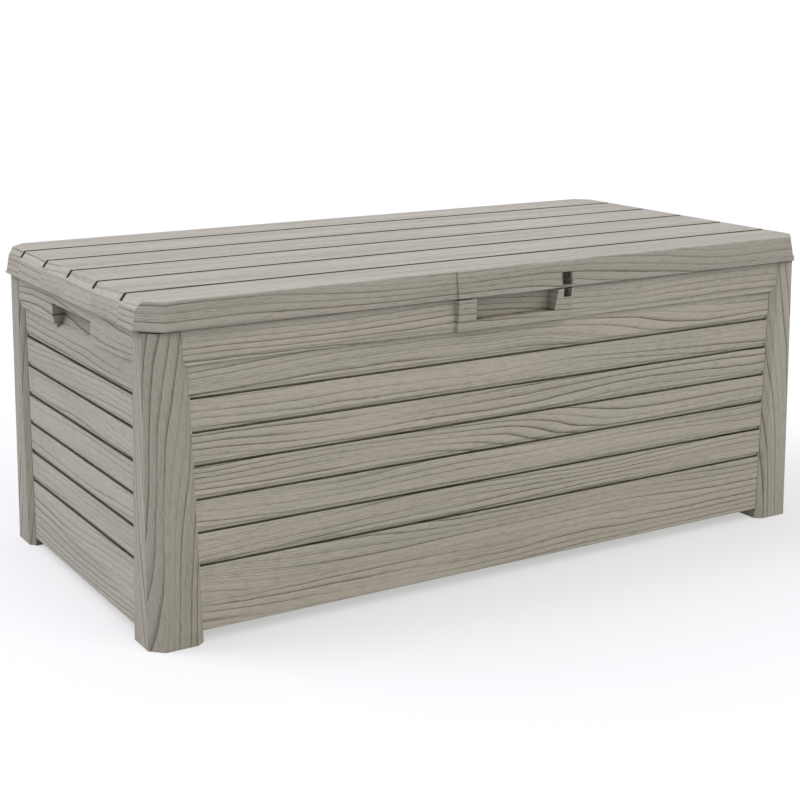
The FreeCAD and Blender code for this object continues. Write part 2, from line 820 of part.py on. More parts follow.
def body_leaf(x):
    """Leaf on the back panel's band, with two outer knuckles on the hinge axis."""
    top = hinge_z - knuckle_r - seat_gap
    half = hinge_width / 2
    plate = box(-x - half, -x + half, back.band - leaf, back.band, top - body_leaf_height, top)
    solids = [back.placed(plate)]
    web_low = top - knuckle_r
    inner_y = back.place_of(0, back.band, web_low).y
    angle = math.radians(knuckle_web_angle)
    web_start = (hinge_y + knuckle_r * math.sin(angle), hinge_z - knuckle_r * math.cos(angle))
    profile = [(inner_y, web_low), web_start, (hinge_y, hinge_z), (inner_y, hinge_z)]
    for x0, x1 in knuckle_bounds(x)[1]:
        solids.append(rod_along_x(x0, x1, hinge_y, hinge_z, knuckle_r))
        solids.append(prism_along_x(profile, x0, x1))
    body = fuse_all(solids).cut(pin_bore(x))
    for offset in leaf_screw_offsets():
        start = Vector(-x + offset, -reach / 2, body_leaf_screw_z())
        hole = Part.makeCylinder(screw_r + pin_gap, reach, start, Vector(0, 1, 0))
        body = body.cut(back.placed(hole))
    return body.removeSplitter()


def pin_bore(x):
    return rod_along_x(x - hinge_width, x + hinge_width, hinge_y, hinge_z, hinge_pin_r + pin_gap)


def body_leaf_screw_holes():
    """Blind holes in the back panel, drawn in its own frame."""
    holes = []
    for x in hinge_places():
        for offset in leaf_screw_offsets():
            start = Vector(-x + offset, 0, body_leaf_screw_z())
            holes.append(Part.makeCylinder(screw_r + pin_gap, back.band + screw_bite, start, Vector(0, 1, 0)))
    return holes


def back_panel():
    return back.levelled(plain_panel(back).cut(body_leaf_screw_holes()))


def body_leaf_screws():
    solids = []
    for x in hinge_places():
        for offset in leaf_screw_offsets():
            one = screw(leaf + screw_bite - seat_gap)
            one.rotate(Vector(0, 0, 0), Vector(1, 0, 0), -90)
            one.translate(Vector(-x + offset, back.band - leaf, body_leaf_screw_z()))
            solids.append(back.placed(one))
    return solids


lid_leaf_screw_z = (hinge_z + knuckle_r + lid_leaf_top) / 2


def lid_leaf_screw_places():
    return [x + offset for x in hinge_places() for offset in leaf_screw_offsets()]


def on_rear_skirt(shape, x):
    """Shape drawn from the skirt's inner face along +Z outwards, moved to the rear skirt."""
    moved = shape.copy()
    moved.rotate(Vector(0, 0, 0), Vector(1, 0, 0), -90 + skirt_lean)
    moved.translate(Vector(x, rear_skirt_inner(lid_leaf_screw_z), lid_leaf_screw_z))
    return moved


def lid_leaf_screw_hole(x):
    return on_rear_skirt(Part.makeCylinder(screw_r + pin_gap, screw_bite, Vector(0, 0, 0)), x)


def lid_leaf(x):
    """Leaf inside the lid's rear skirt, with the middle knuckle."""
    foot = skirt_z + seat_gap
    outer_low = rear_skirt_inner(foot)
    outer_high = rear_skirt_inner(lid_leaf_top)
    profile = [(outer_low, foot), (outer_high, lid_leaf_top), (outer_high - leaf, lid_leaf_top),
               (outer_low - leaf, foot)]
    half = hinge_width / 2
    plate = prism_along_x(profile, x - half, x + half)
    x0, x1 = knuckle_bounds(x)[0]
    arm = [(outer_low - leaf, foot + leaf), (hinge_y - knuckle_arm, hinge_z),
           (hinge_y + knuckle_arm, hinge_z), (outer_low, foot), (outer_low - leaf / 2, foot + leaf)]
    knuckle = rod_along_x(x0, x1, hinge_y, hinge_z, knuckle_r)
    body = fuse_all([plate, knuckle, prism_along_x(arm, x0, x1)]).cut(pin_bore(x))
    for offset in leaf_screw_offsets():
        hole = Part.makeCylinder(screw_r + pin_gap, reach, Vector(0, 0, -reach / 2))
        body = body.cut(on_rear_skirt(hole, x + offset))
    return body.removeSplitter()


def lid_leaf_screws():
    solids = []
    for x in lid_leaf_screw_places():
        thickness = leaf * math.cos(math.radians(skirt_lean))
        one = screw(thickness + screw_bite - seat_gap)
        one.translate(Vector(0, 0, -thickness))
        solids.append(on_rear_skirt(one, x))
    return solids


def hinge_pin(x):
    half = hinge_width / 2 + seat_gap
    solids = [rod_along_x(x - half, x + half, hinge_y, hinge_z, hinge_pin_r)]
    solids.append(rod_along_x(x - half - pin_head, x - half, hinge_y, hinge_z, pin_head_r))
    solids.append(rod_along_x(x + half, x + half + pin_head, hinge_y, hinge_z, pin_head_r))
    return fuse_all(solids)


# Gas struts. Each is drawn along +Z from its foot pivot, then turned towards its head pivot.

strut_dy = strut_head_y - strut_foot_y
strut_dz = strut_head_z - strut_foot_z
strut_length = math.hypot(strut_dy, strut_dz)
strut_angle = math.degrees(math.atan2(strut_dz, strut_dy))
open_angle = math.radians(lid_opening)
arm_y = strut_head_y - hinge_y
arm_z = strut_head_z - hinge_z
open_y = hinge_y + arm_y * math.cos(open_angle) + arm_z * math.sin(open_angle)
open_z = hinge_z - arm_y * math.sin(open_angle) + arm_z * math.cos(open_angle)
strut_stroke = math.hypot(open_y - strut_foot_y, open_z - strut_foot_z) - strut_length
tube_end = strut_length - tube_start - rod_exposed


def on_strut(shape):
    moved = shape.copy()
    moved.rotate(Vector(0, 0, 0), Vector(1, 0, 0), strut_angle - 90)
    moved.translate(Vector(strut_x, strut_foot_y, strut_foot_z))
    return moved


def strut_eye(at, neck_from, neck_to):
    """Ring on the strut's line with a neck that meets the tube or the rod."""
    ring = rod_along_x(-eye_width / 2, eye_width / 2, 0, at, eye_r)
    neck = Part.makeCylinder(eye_neck_r, abs(neck_to - neck_from), Vector(0, 0, min(neck_from, neck_to)))
    bore = rod_along_x(-eye_width, eye_width, 0, at, stud_r + pin_gap)
    return on_strut(ring.fuse(neck).cut(bore).removeSplitter())


def strut_tube_eye():
    return strut_eye(0, eye_r / 2, tube_start)


def strut_tube():
    tube = Part.makeCylinder(tube_r, tube_end - tube_start, Vector(0, 0, tube_start))
    bore_low = tube_start + tube_cap
    bore = Part.makeCylinder(tube_bore_r, tube_end - gland - bore_low, Vector(0, 0, bore_low))
    rod_hole = Part.makeCylinder(rod_r + pin_gap, reach * 2, Vector(0, 0, tube_end - reach))
    return on_strut(tube.cut([bore, rod_hole]))


def strut_rod():
    rod_top = strut_length - tube_start
    piston_low = tube_end - gland - strut_stroke - piston - wall
    rod = Part.makeCylinder(rod_r, rod_top - piston_low, Vector(0, 0, piston_low))
    head = Part.makeCylinder(tube_bore_r - piston_clearance, piston, Vector(0, 0, piston_low))
    return on_strut(rod.fuse(head).removeSplitter())


def strut_rod_eye():
    return strut_eye(strut_length, strut_length - eye_r / 2, strut_length - tube_start)


bracket_face = recess_depth + wall + bracket_pad


def bracket_screw_offsets():
    offset = bracket_width / 2 - screw_head_r - bracket_screw_edge
    return [-offset, offset]


def body_bracket():
    """Plate on the right panel's inner face with a headed stud for the strut's lower eye."""
    y = strut_foot_y
    plate = box(y - bracket_width / 2, y + bracket_width / 2, bracket_face, bracket_face + bracket_plate,
                strut_foot_z - bracket_height / 2, strut_foot_z + bracket_height / 2)
    for offset in bracket_screw_offsets():
        plate = plate.cut(bracket_hole(offset, reach))
    plate_x = right.place_of(0, bracket_face + bracket_plate / 2, strut_foot_z).x
    eye_out = strut_x + eye_width / 2 + seat_gap
    eye_in = strut_x - eye_width / 2 - seat_gap
    boss = rod_along_x(eye_out, plate_x, strut_foot_y, strut_foot_z, bracket_boss_r)
    stud = rod_along_x(eye_in, eye_out, strut_foot_y, strut_foot_z, stud_r)
    head = rod_along_x(eye_in - stud_head, eye_in, strut_foot_y, strut_foot_z, stud_head_r)
    return fuse_all([right.placed(plate), boss, stud, head])


def bracket_hole(offset, depth):
    """Screw hole of the body bracket in the right panel's own frame, from its inner face out."""
    start = Vector(strut_foot_y + offset, bracket_face + reach / 2, strut_foot_z)
    return Part.makeCylinder(screw_r + pin_gap, reach / 2 + depth, start, Vector(0, -1, 0))


def body_bracket_screws():
    solids = []
    for offset in bracket_screw_offsets():
        one = screw(bracket_plate + screw_bite - seat_gap)
        one.rotate(Vector(0, 0, 0), Vector(1, 0, 0), 90)
        one.translate(Vector(strut_foot_y + offset, bracket_face + bracket_plate, strut_foot_z))
        solids.append(right.placed(one))
    return solids


lid_arm_x = strut_x - eye_width / 2 - seat_gap


def lid_bracket():
    """Angle bracket under the lid's liner with a short stud facing the rod's eye."""
    arm_out = lid_arm_x - lid_arm
    half = lid_arm_width / 2
    y = strut_head_y
    flange = box(arm_out - bracket_height + lid_arm, arm_out, y - bracket_width / 2, y + bracket_width / 2,
                 liner_z - bracket_plate, liner_z)
    tip_r = stud_r + lid_arm
    profile = [(y - half, liner_z), (y - tip_r, strut_head_z), (y + tip_r, strut_head_z), (y + half, liner_z)]
    arm = prism_along_x(profile, arm_out - lid_arm, arm_out)
    tip = rod_along_x(arm_out - lid_arm, arm_out, y, strut_head_z, tip_r)
    stud = rod_along_x(arm_out - lid_arm, lid_arm_x, y, strut_head_z, stud_r)
    bracket = fuse_all([flange, arm, tip, stud])
    return bracket.cut(lid_bracket_screw_holes_right())


def lid_bracket_screw_places():
    x = lid_arm_x - lid_arm - bracket_height / 2
    return [(x, strut_head_y + offset) for offset in bracket_screw_offsets()]


def lid_bracket_screw_holes_right():
    holes = []
    for x, y in lid_bracket_screw_places():
        holes.append(Part.makeCylinder(screw_r + pin_gap, reach * 2, Vector(x, y, liner_z - reach)))
    return holes


def lid_bracket_screw_holes():
    holes = lid_bracket_screw_holes_right()
    return holes + [flipped(hole, Vector(1, 0, 0)) for hole in holes]


def lid_bracket_screws():
    solids = []
    for x, y in lid_bracket_screw_places():
        one = screw(bracket_plate + liner_plate)
        one.translate(Vector(x, y, liner_z - bracket_plate))
        solids.append(one)
    return solids


def save_base():
    across = Vector(1, 0, 0)
    post = corner_post()
    rear_post = flipped(post, Vector(0, 1, 0))
    save("post_front_left", post)
    save("post_front_right", flipped(post, across))
    save("post_back_left", rear_post)
    save("post_back_right", flipped(rear_post, across))
    save("front_panel", grip_pocket_panel())
    save("back_panel", back_panel())
    panel = side_panel()
    save("right_panel", panel)
    save("left_panel", flipped(panel, across))
    floor = floor_half()
    save("floor_right", floor)
    save("floor_left", flipped(floor, across))
    save("floor_beam", cross_beam())


def save_lid():
    save("lid_shell", lid_shell())
    save("lid_liner", lid_liner())
    for name, y in zip(("lid_stiffener_front", "lid_stiffener_back"), stiffener_places()):
        save(name, stiffener(y))
    save("lid_liner_screws", *liner_screws())


def save_hinges():
    for number, x in enumerate(hinge_places(), 1):
        save("hinge_%d_body_leaf" % number, body_leaf(x))
        save("hinge_%d_lid_leaf" % number, lid_leaf(x))
        save("hinge_%d_pin" % number, hinge_pin(x))
    save("hinge_body_screws", *body_leaf_screws())
    save("hinge_lid_screws", *lid_leaf_screws())


def save_struts():
    makers = (("tube_eye", strut_tube_eye), ("tube", strut_tube), ("rod", strut_rod),
              ("rod_eye", strut_rod_eye), ("body_bracket", body_bracket), ("lid_bracket", lid_bracket))
    across = Vector(1, 0, 0)
    for name, maker in makers:
        shape = maker()
        save("strut_right_" + name, shape)
        save("strut_left_" + name, flipped(shape, across))
    for name, maker in (("strut_body_screws", body_bracket_screws), ("strut_lid_screws", lid_bracket_screws)):
        screws = maker()
        save(name, *(screws + [flipped(one, across) for one in screws]))


os.makedirs("parts", exist_ok=True)
save_base()
save_lid()
save_hinges()
save_struts()
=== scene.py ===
"""Dresses the outdoor storage chest: wood-look resin, steel fittings, studio, light and camera."""
import logging
import math
from collections.abc import Callable
from dataclasses import dataclass, field, replace
from enum import Enum

import bpy
from mathutils import Matrix, Vector


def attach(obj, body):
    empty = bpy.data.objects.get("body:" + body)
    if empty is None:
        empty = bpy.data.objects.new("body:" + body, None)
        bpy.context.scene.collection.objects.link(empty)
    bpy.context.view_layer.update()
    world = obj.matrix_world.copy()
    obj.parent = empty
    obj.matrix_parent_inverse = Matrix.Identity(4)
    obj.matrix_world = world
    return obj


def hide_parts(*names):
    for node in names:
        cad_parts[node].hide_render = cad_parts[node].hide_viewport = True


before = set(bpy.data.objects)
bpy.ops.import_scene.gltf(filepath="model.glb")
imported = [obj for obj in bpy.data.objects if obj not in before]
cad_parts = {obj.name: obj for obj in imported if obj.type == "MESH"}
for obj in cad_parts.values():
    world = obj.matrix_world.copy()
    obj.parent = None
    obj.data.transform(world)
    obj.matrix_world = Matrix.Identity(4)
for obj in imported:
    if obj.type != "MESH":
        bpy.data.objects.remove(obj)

log = logging.getLogger("chest")
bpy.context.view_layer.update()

Colour = tuple[float, float, float, float]
Triple = tuple[float, float, float]
Pair = tuple[float, float]
Socket = bpy.types.NodeSocket

# Places on the chest, in metres. A wall's plane is its distance at the ground and its lean.
FRONT_WALL = (0.3615, 0.01386)
SIDE_WALL = (0.727, 0.02403)
BAND_FOOT = 0.43
GROOVES = (0.4256, 0.0578)  # height of one groove, and from one to the next
SLAT_GAPS = (0.0019, 0.1281)  # place of the middle gap of the lid, and from one to the next
GAP_FLOOR = 0.5812
# Span of the painted shade in and along the lid's gaps
GAP_DARK = (0.0041, 0.0072)  # from a gap's middle to where the dark begins to fade, and its end
RECESS_DEPTH = (0.006, 0.019)  # behind the side wall, where the shade begins and where it is full
BOSS_AHEAD = 0.0012

# How squarely a face has to look one way, by its normal, to count as such a face
SIDE_OVER_FRONT = 0.3
LEDGE = 0.6
LID_END = 0.74
LID_TOP = 0.8

# Stops of the ramps: the place of each and the grey there
CLOUD_STOPS = ((0.35, 0.0), (0.65, 1.0))
SPECK_STOPS = ((0.40, 0.0), (0.72, 1.0))
PORE_STOPS = ((0.48, 0.0), (0.66, 1.0))
LINE_STOPS = ((0.0, 0.0), (0.06, 1.0), (0.15, 0.55), (0.36, 0.12), (1.0, 0.0))
LINE_FADE_STOPS = ((0.30, 0.22), (0.52, 1.0))
LINE_OWN_STOPS = ((0.0, 0.28), (0.85, 1.0))
FINE_LINE_STOPS = ((0.0, 0.0), (0.15, 1.0), (0.45, 0.2), (1.0, 0.0))
FINE_FADE_STOPS = ((0.44, 0.0), (0.64, 0.45))
LEDGE_STOPS = ((0.50, 0.75), (0.85, 0.0))
EDGE_STOPS = ((0.86, 1.0), (0.995, 0.0))


class Grain(Enum):
    """Direction in which the moulded wood grain runs."""

    ALONG_X = "along the front"
    ALONG_Y = "along the sides"
    ALONG_Z = "up the posts"
    LID = "along the slats, and along the skirt at the ends"


def linear(red: float, green: float, blue: float) -> Colour:
    """Turns a colour read off a screen, 0 to 255, into scene values.

    Args:
        red: Red as shown.
        green: Green as shown.
        blue: Blue as shown.

    Returns:
        The colour with its alpha, for a shader socket.
    """
    shown = [channel / 255 for channel in (red, green, blue)]
    values = [c / 12.92 if c <= 0.04045 else ((c + 0.055) / 1.055) ** 2.4 for c in shown]
    return (values[0], values[1], values[2], 1.0)


# Paler colour painted on edges as a highlight
EDGE_HIGHLIGHT_COLOUR = linear(196, 192, 181)
SHADE = linear(70, 62, 50)
# Painted shade on the sheltered floors of hollows
SHELTERED_SHADE = linear(46, 41, 32)
# Painted shade in grooves, crevices and the lid's gaps
CREVICE_SHADE = linear(58, 50, 34)
WHITE = (1.0, 1.0, 1.0, 1.0)


def darkened(colour: Colour, share: float) -> Colour:
    """Returns a colour at a share of its brightness."""
    return tuple(channel * share for channel in colour[:3]) + (1.0,)


class Nodes:
    """Short hand for building the node tree of a material or a world."""

    def __init__(self, owner: bpy.types.Material | bpy.types.World) -> None:
        """Empties the owner's node tree.

        Args:
            owner: The material or world.
        """
        owner.use_nodes = True
        self.tree = owner.node_tree
        self.tree.nodes.clear()

    def link(self, source: Socket, target: Socket) -> None:
        """Joins two sockets."""
        self.tree.links.new(source, target)

    def add(self, kind: str, inputs: dict[str | int, object] | None = None,
            **settings: object) -> bpy.types.Node:
        """Adds a node, sets its properties, and fills or links its inputs.

        Args:
            kind: Blender's name of the node.
            inputs: Values or sockets by input name or number.
            **settings: Properties of the node.

        Returns:
            The new node.
        """
        node = self.tree.nodes.new(kind)
        for key, value in settings.items():
            setattr(node, key, value)
        for key, value in (inputs or {}).items():
            if isinstance(value, Socket):
                self.link(value, node.inputs[key])
            else:
                node.inputs[key].default_value = value
        return node

    def math(self, operation: str, first: object, second: object = 0.0) -> Socket:
        """Adds a sum of one or two values and returns its result."""
        node = self.add("ShaderNodeMath", {0: first, 1: second}, operation=operation)
        return node.outputs[0]

    def total(self, *terms: tuple[object, float]) -> Socket:
        """Adds up values, each times its weight.

        Args:
            *terms: Pairs of a value and its weight.

        Returns:
            The sum.
        """
        result = self.math("MULTIPLY", *terms[0])
        for value, weight in terms[1:]:
            node = self.add("ShaderNodeMath", {0: value, 1: weight, 2: result},
                            operation="MULTIPLY_ADD")
            result = node.outputs[0]
        return result

    def ramp(self, value: Socket, *stops: Pair) -> Socket:
        """Maps a value through grey stops.

        Args:
            value: The value to map.
            *stops: Pairs of a place and the grey at it.

        Returns:
            The mapped value.
        """
        node = self.add("ShaderNodeValToRGB", {0: value})
        elements = node.color_ramp.elements
        while len(elements) < len(stops):
            elements.new(0.5)
        for element, (place, grey) in zip(elements, stops):
            element.position = place
            element.color = (grey, grey, grey, 1.0)
        return node.outputs[0]

    def between(self, value: Socket, start: float, end: float, low: float, high: float) -> Socket:
        """Maps a value between two limits to two results, which hold beyond them."""
        node = self.add("ShaderNodeMapRange", {0: value, 1: start, 2: end, 3: low, 4: high})
        return node.outputs[0]

    def mix(self, factor: object, first: object, second: object) -> Socket:
        """Mixes two colours and returns the result."""
        node = self.add("ShaderNodeMix", {0: factor, 6: first, 7: second}, data_type="RGBA")
        return node.outputs[2]

    def choose(self, factor: Socket, first: object, second: object) -> Socket:
        """Blends two numbers and returns the result."""
        return self.add("ShaderNodeMix", {0: factor, 2: first, 3: second}).outputs[0]

    def noise(self, point: Socket, detail: float = 2.0, roughness: float = 0.5,
              scale: float = 1.0) -> Socket:
        """Adds a cloudy noise and returns its value."""
        node = self.add("ShaderNodeTexNoise", {"Vector": point, "Scale": scale, "Detail": detail,
                                               "Roughness": roughness})
        return node.outputs["Fac"]

    def parts(self, output: str) -> tuple[Socket, ...]:
        """Splits the surface's place ("Object") or direction ("Normal") into X, Y and Z."""
        source = self.add("ShaderNodeTexCoord").outputs[output]
        return tuple(self.add("ShaderNodeSeparateXYZ", {0: source}).outputs)

    def crevice(self, reach: float) -> Socket:
        """Measures how open the surface is, from 0 in a narrow groove to 1 on a plain face.

        Args:
            reach: Distance that counts, in metres.

        Returns:
            The openness.
        """
        node = self.add("ShaderNodeAmbientOcclusion", {"Distance": reach}, samples=8,
                        only_local=True)
        return node.outputs["AO"]

    def rounded(self, radius: float) -> Socket:
        """Finds the surface's direction as if its edges were rounded."""
        return self.add("ShaderNodeBevel", {"Radius": radius}, samples=4).outputs[0]

    def edge(self, rounded: Socket) -> Socket:
        """Measures how close the surface is to a sharp edge or corner.

        Args:
            rounded: Direction of the surface with its edges rounded.

        Returns:
            0 on a plain face to 1 at an edge.
        """
        flat = self.add("ShaderNodeNewGeometry").outputs["Normal"]
        alike = self.add("ShaderNodeVectorMath", {0: rounded, 1: flat}, operation="DOT_PRODUCT")
        return self.ramp(alike.outputs["Value"], *EDGE_STOPS)


class MaterialNodes(Nodes):
    """Nodes of a new material round one shader."""

    def __init__(self, name: str) -> None:
        """Starts the material with its shader and output.

        Args:
            name: Name of the material.
        """
        self.material = bpy.data.materials.new(name)
        super().__init__(self.material)
        self.output = self.add("ShaderNodeOutputMaterial")
        self.shader = self.add("ShaderNodeBsdfPrincipled")
        self.link(self.shader.outputs["BSDF"], self.output.inputs["Surface"])

    def uneven(self, value: Socket, middle: float, spread: float) -> Socket:
        """Spreads a noise round a middle value."""
        return self.math("ADD", self.math("MULTIPLY", value, spread), middle - spread / 2)

    def complete(self, colour: Socket, rough: Socket,
                 relief: dict[str, object]) -> bpy.types.Material:
        """Links the results to the shader.

        Args:
            colour: Base colour.
            rough: Roughness.
            relief: Inputs of the bump.

        Returns:
            The finished material.
        """
        self.link(colour, self.shader.inputs["Base Color"])
        self.link(rough, self.shader.inputs["Roughness"])
        bump = self.add("ShaderNodeBump", relief)
        self.link(bump.outputs["Normal"], self.shader.inputs["Normal"])
        return self.material


@dataclass(frozen=True)
class Layer:
    """One noise of the grain, given by how finely it varies, per metre."""

    along: float
    across: float
    level: float = 0.0
    detail: float = 2.0
    roughness: float = 0.5

    def draw(self, nodes: Nodes, along: Socket, across: Socket) -> Socket:
        """Draws the noise on the grain's distances.

        Args:
            nodes: Nodes of the material.
            along: Distance along the grain.
            across: Distance across it.

        Returns:
            The noise, 0 to 1.
        """
        point = nodes.add("ShaderNodeCombineXYZ", {0: nodes.math("MULTIPLY", along, self.along),
                                                   1: nodes.math("MULTIPLY", across, self.across),
                                                   2: self.level})
        return nodes.noise(point.outputs[0], self.detail, self.roughness)


TINT = Layer(2.2, 14.0, roughness=0.6)
SPECKS = Layer(520.0, 760.0, roughness=0.7)
PORES = Layer(40.0, 700.0, detail=3.0, roughness=0.7)
SWAY = Layer(0.8, 3.0, detail=1.0, roughness=0.4)
ARCHES = Layer(2.4, 15.0, 3.1, detail=0.0)
WOBBLE = Layer(12.0, 30.0, 9.2, detail=1.0)
LINE_FADE = Layer(2.0, 24.0, 4.7, detail=1.0)
FINE_FADE = Layer(2.6, 34.0, 1.3, detail=1.0)


@dataclass(frozen=True)
class WoodLookResin:
    """Moulded resin with an embossed wood grain: growth lines, pores, specks and soft tints.

    A board is one slat or one strip between two grooves. Its grain differs from its neighbours'.
    """

    name: str
    grain: Grain
    offset: Pair = (0.0, 0.0)
    board: Pair | None = None
    board_shift: Pair = (3.37, 0.713)
    face: Colour = linear(191, 185, 172)
    face_share: float = 0.5
    line: Colour = linear(92, 86, 71)
    warm: Colour = linear(196, 189, 176)
    cool: Colour = linear(184, 181, 167)
    # Painted shade in grooves and crevices: its strength, the openness where it is full and where
    # it ends, and its reach
    crevice_shade: float = 0.28
    crevice_shade_from: Pair = (0.36, 0.66)
    crevice_shade_reach: float = 0.009
    # Painted shade in and along the lid's gaps: the height above which it lies, and its strength
    gap_floor: float = 0.0
    gap_shade: float = 0.92
    hollow_shade: float = 0.0
    hollow_from: Pair = (0.30, 0.80)
    hollow_reach: float = 0.045
    ledge_reach: float = 0.03
    proud_shade: float = 0.0
    recess_shade: float = 0.0
    line_pitch: float = 0.012
    slope: float = 0.015
    sway: float = 8.0
    arches: float = 2.8
    wobble: float = 0.3
    fine_lines: float = 3.3
    fine_sway: float = 5.0
    line_strength: float = 0.95
    pore_strength: float = 0.30
    speck_strength: float = 0.26
    edge_round: float = 0.0014
    # Share of the paler colour painted on edges as a highlight
    edge_highlight_share: float = 0.30
    roughness: float = 0.58
    pore_roughness: float = 0.12
    speck_roughness: float = 0.06
    bump: float = 0.6
    depth: float = 0.0006
    line_depth: float = 0.7
    pore_depth: float = 0.4
    speck_depth: float = 0.25

    def build(self) -> bpy.types.Material:
        """Builds the material.

        Returns:
            The finished material.
        """
        nodes = MaterialNodes(self.name)
        along, across = self.coordinates(nodes)
        lines = self.growth_lines(nodes, along, across)
        pores = nodes.ramp(PORES.draw(nodes, along, across), *PORE_STOPS)
        specks = nodes.ramp(SPECKS.draw(nodes, along, across), *SPECK_STOPS)
        tint = nodes.ramp(TINT.draw(nodes, along, across), *CLOUD_STOPS)
        base = nodes.mix(self.face_share, nodes.mix(tint, self.cool, self.warm), self.face)
        dark = nodes.total((lines, self.line_strength), (pores, self.pore_strength),
                           (specks, self.speck_strength))
        colour = nodes.mix(nodes.math("MINIMUM", dark, 1.0), base, self.line)
        rounded = nodes.rounded(self.edge_round)
        # Painted highlight: edges turn paler
        pale = nodes.math("MULTIPLY", nodes.edge(rounded), self.edge_highlight_share)
        colour = self.with_painted_shade_and_boss_tone(nodes, nodes.mix(pale, colour, EDGE_HIGHLIGHT_COLOUR))
        rough = nodes.total((pores, self.pore_roughness), (specks, self.speck_roughness),
                            (1.0, self.roughness))
        height = nodes.total((lines, -self.line_depth), (pores, -self.pore_depth),
                             (specks, -self.speck_depth), (1.0, 1.0))
        return nodes.complete(colour, rough, {"Strength": self.bump, "Distance": self.depth,
                                              "Height": height, "Normal": rounded})

    def with_painted_shade_and_boss_tone(self, nodes: Nodes, colour: Socket) -> Socket:
        """Paints shade into hollows, the hand recess and the grooves, and darkens the grip's boss.

        Args:
            nodes: Nodes of the material.
            colour: The colour so far.

        Returns:
            The darkened colour.
        """
        if self.hollow_shade:
            start, end = self.hollow_from
            deep = nodes.ramp(nodes.crevice(self.hollow_reach), (start, self.hollow_shade),
                              (end, 0.0))
            colour = nodes.mix(deep, colour, SHADE)
            # Painted shade on the sheltered floors of hollows
            colour = nodes.mix(self.sheltered_floor_shade(nodes), colour, SHELTERED_SHADE)
        if self.recess_shade:
            inside = nodes.math("MULTIPLY", self.behind_side(nodes), self.recess_shade)
            colour = nodes.mix(inside, colour, SHADE)
        if self.proud_shade:
            ahead = nodes.math("MULTIPLY", self.proud_of_wall(nodes), self.proud_shade)
            colour = nodes.mix(ahead, colour, self.line)
        # Painted shade in grooves and crevices, and in and along the lid's gaps
        start, end = self.crevice_shade_from
        crevice_shade = nodes.ramp(nodes.crevice(self.crevice_shade_reach), (start, self.crevice_shade), (end, 0.0))
        if self.gap_floor:
            crevice_shade = nodes.math("MAXIMUM", crevice_shade, self.along_gaps(nodes))
        return nodes.mix(crevice_shade, colour, CREVICE_SHADE)

    def coordinates(self, nodes: Nodes) -> tuple[Socket, Socket]:
        """Finds the distances along and across the grain, each board's shifted by its number.

        Args:
            nodes: Nodes of the material.

        Returns:
            The two distances, in metres.
        """
        along, across, counted = self.directions(nodes)
        shift, lift = self.offset
        if self.board is None:
            return nodes.math("ADD", along, shift), nodes.math("ADD", across, lift)
        start, pitch = self.board
        step, rise = self.board_shift
        number = nodes.math("FLOOR", nodes.total((counted, 1.0 / pitch), (1.0, -start / pitch)))
        return (nodes.total((along, 1.0), (number, step), (1.0, shift)),
                nodes.total((across, 1.0), (number, rise), (1.0, lift)))

    def directions(self, nodes: Nodes) -> tuple[Socket, Socket, Socket]:
        """Picks what runs along the grain, across it, and from board to board.

        Args:
            nodes: Nodes of the material.

        Returns:
            The three distances.
        """
        x, y, z = nodes.parts("Object")
        if self.grain is Grain.ALONG_X:
            return x, z, z
        if self.grain is Grain.ALONG_Y:
            return y, z, z
        out_x, out_y, up = nodes.parts("Normal")
        if self.grain is Grain.ALONG_Z:
            out_x = nodes.math("MULTIPLY", nodes.math("SIGN", x), out_x)
            out_y = nodes.math("MULTIPLY", nodes.math("SIGN", y), out_y)
            on_side = nodes.math("GREATER_THAN", nodes.math("SUBTRACT", out_x, out_y),
                                 SIDE_OVER_FRONT)
            around = nodes.choose(on_side, nodes.math("ABSOLUTE", x), nodes.math("ABSOLUTE", y))
            return z, around, x
        at_end = nodes.math("GREATER_THAN", nodes.math("ABSOLUTE", out_x), LID_END)
        on_top = nodes.math("GREATER_THAN", up, LID_TOP)
        return nodes.choose(at_end, x, y), nodes.choose(on_top, z, y), y

    def growth_lines(self, nodes: Nodes, along: Socket, across: Socket) -> Socket:
        """Draws lines that wander, close into arches here and there, and fade in and out.

        Args:
            nodes: Nodes of the material.
            along: Distance along the grain.
            across: Distance across it.

        Returns:
            Darkness of the lines, 0 to 1.
        """
        sway, arches, wobble, fade, fine_fade = (
            layer.draw(nodes, along, across)
            for layer in (SWAY, ARCHES, WOBBLE, LINE_FADE, FINE_FADE))
        rings = nodes.total((across, 1.0 / self.line_pitch), (along, self.slope / self.line_pitch),
                            (sway, self.sway), (arches, self.arches), (wobble, self.wobble))
        own = nodes.add("ShaderNodeTexWhiteNoise", {"W": nodes.math("FLOOR", rings)},
                        noise_dimensions="1D").outputs["Value"]
        line = nodes.ramp(nodes.math("FRACT", rings), *LINE_STOPS)
        strength = nodes.math("MULTIPLY", nodes.ramp(fade, *LINE_FADE_STOPS),
                              nodes.ramp(own, *LINE_OWN_STOPS))
        fine_rings = nodes.total((rings, self.fine_lines), (sway, self.fine_sway))
        fine = nodes.ramp(nodes.math("FRACT", fine_rings), *FINE_LINE_STOPS)
        fine_strength = nodes.ramp(fine_fade, *FINE_FADE_STOPS)
        return nodes.math("MAXIMUM", nodes.math("MULTIPLY", line, strength),
                          nodes.math("MULTIPLY", fine, fine_strength))

    def sheltered_floor_shade(self, nodes: Nodes) -> Socket:
        """Finds the sheltered floors of hollows, where shade is painted.

        Args:
            nodes: Nodes of the material.

        Returns:
            Darkness of the painted shade, 0 to 1.
        """
        up = nodes.parts("Normal")[2]
        sheltered = nodes.ramp(nodes.crevice(self.ledge_reach), *LEDGE_STOPS)
        return nodes.math("MULTIPLY", nodes.math("GREATER_THAN", up, LEDGE), sheltered)

